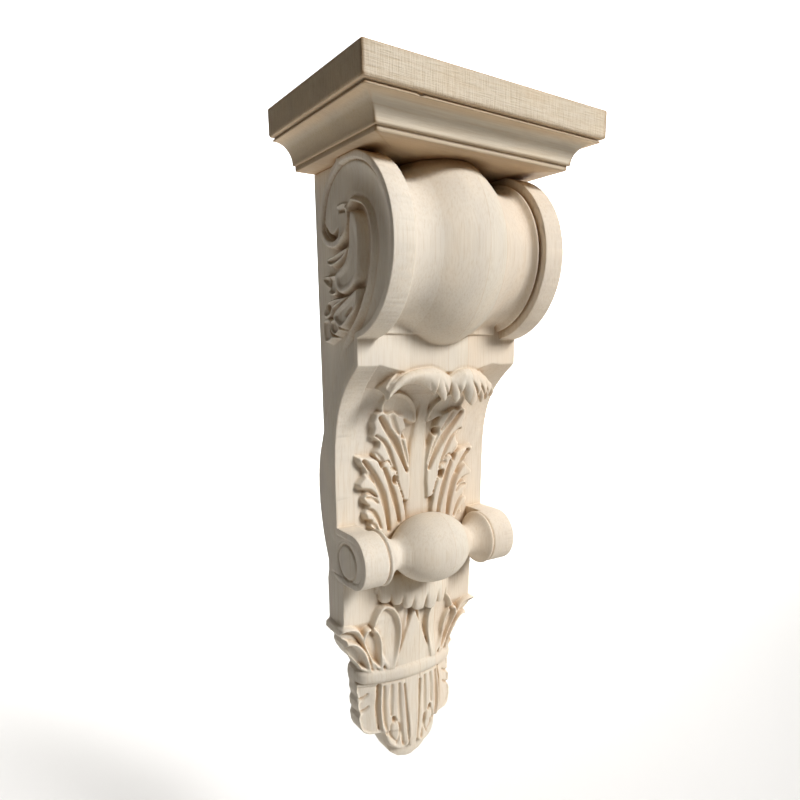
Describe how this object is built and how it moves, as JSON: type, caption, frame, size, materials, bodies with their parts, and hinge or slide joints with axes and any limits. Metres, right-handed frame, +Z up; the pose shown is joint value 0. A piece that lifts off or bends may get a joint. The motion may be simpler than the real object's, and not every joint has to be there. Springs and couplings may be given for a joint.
{
  "type": "carved wooden corbel",
  "caption": "Tall carved wooden corbel: a moulded cap over a scrolled bracket with a round belly, a leafed hollow panel, a small roll with a ball and a leafed tail with a pointed tip.",
  "frame": {"origin": "the middle of the bracket's flat back on the wall, 170 mm below the top of the cap", "axes": "+Z up, +Y into the wall, -Y out to the front, +X to the viewer's right"},
  "size_m": [0.2, 0.1414, 0.553],
  "materials": {
    "sawn_wood": "pale close-grained hardwood, unfinished, with band-saw marks on the fascia and planed mouldings",
    "carved_wood": "pale close-grained hardwood, carved and sanded, unfinished, grain running down the bracket"
  },
  "bodies": {
    "root": {"cap": "sawn_wood", "bracket": "carved_wood"}
  },
  "joints": []
}
